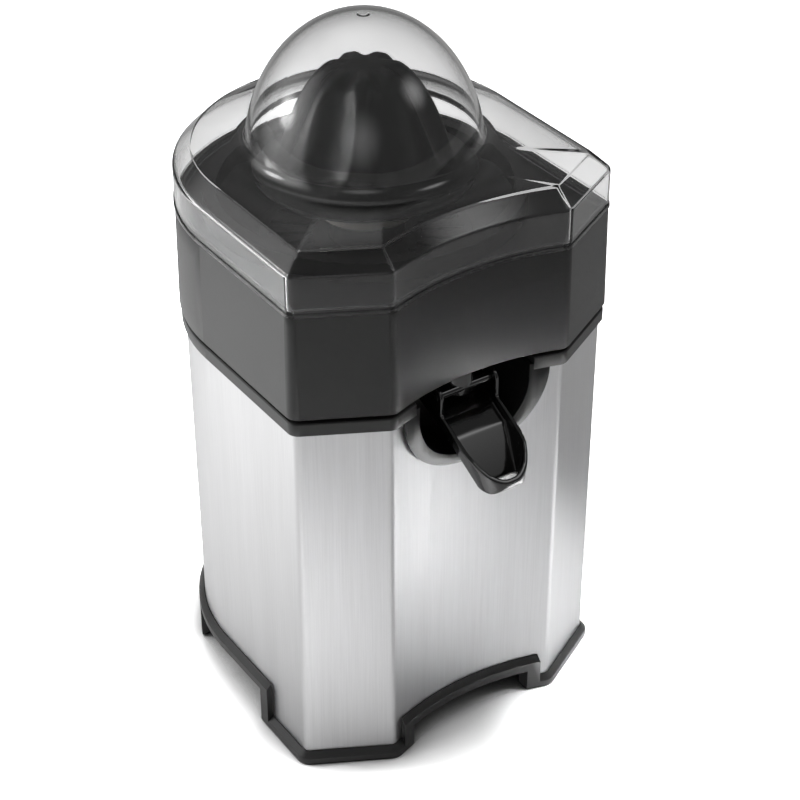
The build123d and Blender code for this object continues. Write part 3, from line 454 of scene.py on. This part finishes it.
def fluted_reamer():
    """Rings from the crown down: a power curve for the cone and a cubic curve for the skirt's flare, lobes
    raised and sunk by a squared cosine round the crown, and the flutes' two nearest sides, joined by a
    soft minimum that rounds the crests; then the skirt's edge, its underside, the sleeve and the hexagon
    bore."""
    ridge = 2 * np.pi / RIDGES
    phase = (steps(RIDGE_COLUMNS) - 0.5) * ridge
    angle = np.radians(RIDGE_TURN) + 2 * np.pi * steps(RIDGE_COLUMNS * RIDGES)
    cone_h = REAMER_TOP - CONE_Z
    crown_r = CONE_R * np.linspace(CROWN_START, 1, CROWN_ROWS)
    crown_z = REAMER_TOP - cone_h * (crown_r / CONE_R) ** CROWN_POWER
    slope = np.array([CONE_R, -CROWN_POWER * cone_h]) / np.hypot(CONE_R, CROWN_POWER * cone_h)
    foot, rim = np.array([CONE_R, CONE_Z]), np.array([SKIRT_R, SKIRT_Z + SKIRT_EDGE])
    pull = np.stack([foot, foot + CONE_PULL * slope, rim + RIM_PULL, rim])
    s = np.linspace(0, 1, FLARE_ROWS)[1:, None]
    flare = np.hstack([(1 - s) ** 3, 3 * s * (1 - s) ** 2, 3 * s**2 * (1 - s), s**3]) @ pull
    radius = np.concatenate([crown_r, flare[:-1, 0]])
    height = np.concatenate([crown_z, flare[:-1, 1]])[:, None]
    sink = np.clip((radius[:, None] - LOBE_START) / (LOBE_END - LOBE_START), 0, 1)
    fade = np.clip((CONE_R - radius[:, None]) / (CONE_R - LOBE_END), 0, 1)
    valley = ((1 + np.cos(phase * RIDGES)) / 2) ** 2
    height = height + sink**2 * (3 - 2 * sink) * fade * (LOBE_RISE * (1 - valley) - LOBE_DEPTH * valley)
    sides = np.stack([
        np.broadcast_to(radius[:, None], (len(radius), RIDGE_COLUMNS)),
        flute_depth(height, phase),
        flute_depth(height, ridge - np.abs(phase)),
    ])
    least = sides.min(axis=0)
    soft = least - CREST_ROUND * np.log(np.exp(-(sides - least) / CREST_ROUND).sum(axis=0))
    under = rounded([
        (*rim, 0.35), (SKIRT_R, SKIRT_Z, 0.35), (HOLLOW_R, SKIRT_Z, 0.5), (HOLLOW_TOP_R, HOLLOW_Z, 0.5),
        (TUBE_R, HOLLOW_Z, 0.5), (TUBE_R, TUBE_Z, 0.4), (TUBE_IN_R, TUBE_Z, 0.4),
        (TUBE_IN_R, HOLLOW_Z, 0.5), (BOSS_R, HOLLOW_Z, 0.5), (BOSS_R, SKIRT_Z, 0.4),
    ])[1:]
    bore = HEX_HALF / np.cos((angle + np.pi / 6) % (np.pi / 3) - np.pi / 6)
    spoke = np.stack([np.cos(angle), np.sin(angle)], axis=1)
    rings = np.concatenate([
        lifted(np.tile(soft, RIDGES)[..., None] * spoke, np.tile(height, RIDGES)),
        lifted(under[:, :1, None] * spoke, under[:, 1]),
        lifted(np.stack([bore, bore])[..., None] * spoke, [SKIRT_Z, BORE_TOP]),
    ])
    return skin(rings, [(0, 0, REAMER_TOP), (0, 0, BORE_TOP)])


piece("clear_cover", clear_cover(), clear, "cover", "dust_cover")
piece("fluted_reamer", fluted_reamer(), reamer_black, "reamer", "reamer")

# Moulded edges, in millimetres: joined faces and a small round on every sharp edge
EDGE_ROUNDS = {"juice_collector": 0.6, "upper_trim": 0.5, "base_frame": 0.7, "spout_surround": 0.5}
EDGE_SEGMENTS, SHARP_ANGLE, JOIN_REACH = 2, math.radians(35), 0.002
SPOUT_BEND_Y, SPOUT_BEND_Z, SPOUT_BEND_NEAR = -86.0, 170.45, 0.1
SPOUT_BEND_REACH, SPOUT_BEND_SEGMENTS = 8.0, 10
SPOUT_VOXEL, SPOUT_EASE, SPOUT_PASSES = 0.45, 0.5, 12


def rounded_edges(node, width, segments, **settings):
    """Joins the node's faces and rounds its edges by a width in millimetres, with modifiers."""
    weld = node.modifiers.new("joined", "WELD")
    weld.merge_threshold = JOIN_REACH * MM
    bevel = node.modifiers.new("edge_round", "BEVEL")
    bevel.width, bevel.segments = width * MM, segments
    for key, value in settings.items():
        setattr(bevel, key, value)


def smooth_scoop(node):
    """The spout as one smooth moulding: the bend in its floor, found as the edges whose ends both lie on
    the bend's line across the spout, is eased over a few millimetres, then the whole is remeshed and its
    edges soften."""
    mesh = node.data
    points = np.empty(3 * len(mesh.vertices))
    mesh.vertices.foreach_get("co", points)
    ends = np.empty(2 * len(mesh.edges), int)
    mesh.edges.foreach_get("vertices", ends)
    ends = points.reshape(-1, 3)[ends.reshape(-1, 2)]
    off = np.hypot(ends[..., 1] - SPOUT_BEND_Y * MM - AXIS_Y, ends[..., 2] - SPOUT_BEND_Z * MM)
    bent = off.max(axis=1) < SPOUT_BEND_NEAR * MM
    weight = mesh.attributes.new("bevel_weight_edge", "FLOAT", "EDGE")
    weight.data.foreach_set("value", bent.astype(float))
    rounded_edges(node, SPOUT_BEND_REACH, SPOUT_BEND_SEGMENTS, limit_method="WEIGHT",
                  use_clamp_overlap=False)
    voxels = node.modifiers.new("voxels", "REMESH")
    voxels.mode, voxels.voxel_size, voxels.use_smooth_shade = "VOXEL", SPOUT_VOXEL * MM, True
    ease = node.modifiers.new("ease", "SMOOTH")
    ease.factor, ease.iterations = SPOUT_EASE, SPOUT_PASSES


for name, width in EDGE_ROUNDS.items():
    rounded_edges(nodes[name], width, EDGE_SEGMENTS, limit_method="ANGLE", angle_limit=SHARP_ANGLE)
smooth_scoop(nodes["spout"])

# Floor, lamps and world, in metres; a ray's depth under FIRST_BOUNCE means no such bounce yet
FLOOR_HALF, FLOOR_TONE, FLOOR_LIFT = 4.0, 0.79, 5.8
# The floor's painted contact shade: how far ambient occlusion reaches, how sharply it darkens the board's
# colour, and its samples
SHADE_REACH, SHADE_POWER, SHADE_SAMPLES = 0.04, 3.0, 16
WHITE_MIRRORED, WHITE_THROUGH, FIRST_BOUNCE = 0.10, 0.5, 0.5
LAMP_CENTRE, LAMP_EDGE = (0.5, 0.5, 0), 0.5
WORLD_MIRRORED, WORLD_AROUND, WORLD_SEEN = 0.08, 0.20, 1.0


def shown_white(tree):
    """How far the surroundings turn white for a ray: fully for the camera, partly where metal and plastic
    mirror them or the clear cover lets them straight through, and not at all for light that falls on the
    object."""
    ray = add(tree, "LightPath").outputs
    mirrored = add(tree, "Math", {0: ray["Is Glossy Ray"], 1: WHITE_MIRRORED}, operation="MULTIPLY")
    through = add(tree, "Math", {0: ray["Is Transmission Ray"], 1: WHITE_THROUGH}, operation="MULTIPLY")
    straight = add(tree, "Math", {0: ray["Glossy Depth"], 1: FIRST_BOUNCE}, operation="LESS_THAN")
    through = add(tree, "Math", {0: through.outputs[0], 1: straight.outputs[0]}, operation="MULTIPLY")
    either = add(tree, "Math", {0: mirrored.outputs[0], 1: through.outputs[0]}, operation="MAXIMUM")
    unlit = add(tree, "Math", {0: ray["Diffuse Depth"], 1: FIRST_BOUNCE}, operation="LESS_THAN")
    kept = add(tree, "Math", {0: either.outputs[0], 1: unlit.outputs[0]}, operation="MULTIPLY")
    return add(tree, "Math", {0: ray["Is Camera Ray"], 1: kept.outputs[0]}, operation="MAXIMUM")


def pale_board():
    """Pale painted board: white to the eye where light falls on it, with painted shade close to the foot of
    the object, where ambient occlusion darkens its colour. Metal, plastic and the clear cover show it less
    white, which leaves the cover its grey."""
    material, tree, out = fresh("pale_board")
    seen = shown_white(tree)
    # Painted shade: ambient occlusion darkens the board's colour close to the object, on top of the lamps'
    # real shadows
    near = add(tree, "AmbientOcclusion", {"Distance": SHADE_REACH}, samples=SHADE_SAMPLES)
    shade = add(tree, "Math", {0: near.outputs["AO"], 1: SHADE_POWER}, operation="POWER")
    white = add(tree, "Math", {0: shade.outputs[0], 1: FLOOR_LIFT}, operation="MULTIPLY")
    tone = add(tree, "Mix", {0: seen.outputs[0], 2: FLOOR_TONE, 3: white.outputs[0]}, data_type="FLOAT")
    board = add(tree, "BsdfDiffuse", {"Color": tone.outputs[0]})
    tree.links.new(board.outputs[0], out.inputs[0])
    return material


floor_mesh = bpy.data.meshes.new("floor")
floor_corners = FLOOR_HALF * np.array([(-1, -1, 0), (1, -1, 0), (1, 1, 0), (-1, 1, 0)])
floor_mesh.from_pydata(floor_corners.tolist(), [], [(0, 1, 2, 3)])
floor_mesh.materials.append(pale_board())
floor = in_scene("floor", floor_mesh)


def lamp(name, place, aim, size, spread, power, mirrored):
    """Square soft lamp whose light fades from its middle to its edges by a smooth step, turned to its aim."""
    data = bpy.data.lights.new(name, "AREA")
    data.shape, data.size, data.spread, data.energy = "SQUARE", size, math.radians(spread), power
    data.use_nodes = True
    tree = data.node_tree
    spot = add(tree, "NewGeometry").outputs["Parametric"]
    off = add(tree, "VectorMath", {0: spot, 1: LAMP_CENTRE}, operation="DISTANCE")
    fade = add(tree, "MapRange", {"Value": off.outputs["Value"], "From Min": 0.0, "From Max": LAMP_EDGE,
                                  "To Min": 1.0, "To Max": 0.0}, interpolation_type="SMOOTHSTEP")
    tree.links.new(fade.outputs[0], tree.nodes["Emission"].inputs["Strength"])
    made = in_scene(name, data)
    made.location = place
    made.rotation_euler = (Vector(aim) - Vector(place)).to_track_quat("-Z", "Y").to_euler()
    made.visible_camera = False
    made.visible_glossy = mirrored


# Place, aim, size in metres, spread of the cone in degrees, watts, and whether the lamp shows in mirrors:
# the lamps that only lighten the floor don't
LAMPS = {
    "left_lamp": ((-0.45, 0.30, 0.40), (-0.19, 0.17, 0.0), 0.30, 150, 5.0, False),
    "left_glow": ((-0.60, 0.35, 0.40), (-0.05, 0.00, 0.20), 1.20, 180, 8.0, True),
    "front_left_lamp": ((-0.40, -0.28, 0.40), (-0.17, -0.17, 0.0), 0.12, 24, 0.25, False),
    "right_lamp": ((0.30, -0.30, 0.40), (0.13, -0.14, 0.0), 0.10, 20, 3.3, False),
    "front_left_glow": ((-0.90, -1.20, 0.80), (0.0, 0.0, 0.25), 1.40, 180, 5.0, True),
    "front_glow": ((0.42, -0.55, 0.82), (0.0, -0.11, 0.16), 0.50, 180, 1.6, True),
    "top_lamp": ((0.10, 0.45, 1.20), (0.0, 0.0, 0.2), 1.20, 180, 3.0, True),
}
for name, settings in LAMPS.items():
    lamp(name, *settings)

world = bpy.data.worlds.new("studio")
bpy.context.scene.world = world
world.use_nodes = True
tree = world.node_tree
tree.nodes.clear()
path = add(tree, "LightPath")
around = add(tree, "Mix", {0: path.outputs["Is Diffuse Ray"], 2: WORLD_MIRRORED, 3: WORLD_AROUND},
             data_type="FLOAT")
level = add(tree, "Mix", {0: shown_white(tree).outputs[0], 2: around.outputs[0], 3: WORLD_SEEN},
            data_type="FLOAT")
backdrop = add(tree, "Background", {"Color": (1, 1, 1, 1), "Strength": level.outputs[0]})
world_out = add(tree, "OutputWorld")
tree.links.new(backdrop.outputs[0], world_out.inputs[0])

# Camera at the photographed angle; the focal length was found in pixels of the photograph's width
CAMERA_AT = (-439.76 * MM, -677.94 * MM + AXIS_Y, 690.67 * MM)
CAMERA_AIM = (11.2 * MM, -10.0 * MM + AXIS_Y, 135.2 * MM)
CAMERA_ROLL = math.radians(-0.127)
SENSOR, FOCAL_PIXELS, PHOTO_PIXELS = 36.0, 2097.0, 800
camera_data = bpy.data.cameras.new("camera")
camera_data.sensor_width = SENSOR
camera_data.sensor_fit = "HORIZONTAL"
camera_data.lens = FOCAL_PIXELS / PHOTO_PIXELS * SENSOR
camera_data.clip_start, camera_data.clip_end = 0.02, 20.0
camera = in_scene("camera", camera_data)
back = Vector(CAMERA_AT) - Vector(CAMERA_AIM)
turn = back.to_track_quat("Z", "Y").to_matrix().to_4x4() @ Matrix.Rotation(CAMERA_ROLL, 4, "Z")
camera.matrix_world = Matrix.Translation(CAMERA_AT) @ turn
bpy.context.scene.camera = camera

bpy.context.scene.view_settings.view_transform = "Standard"
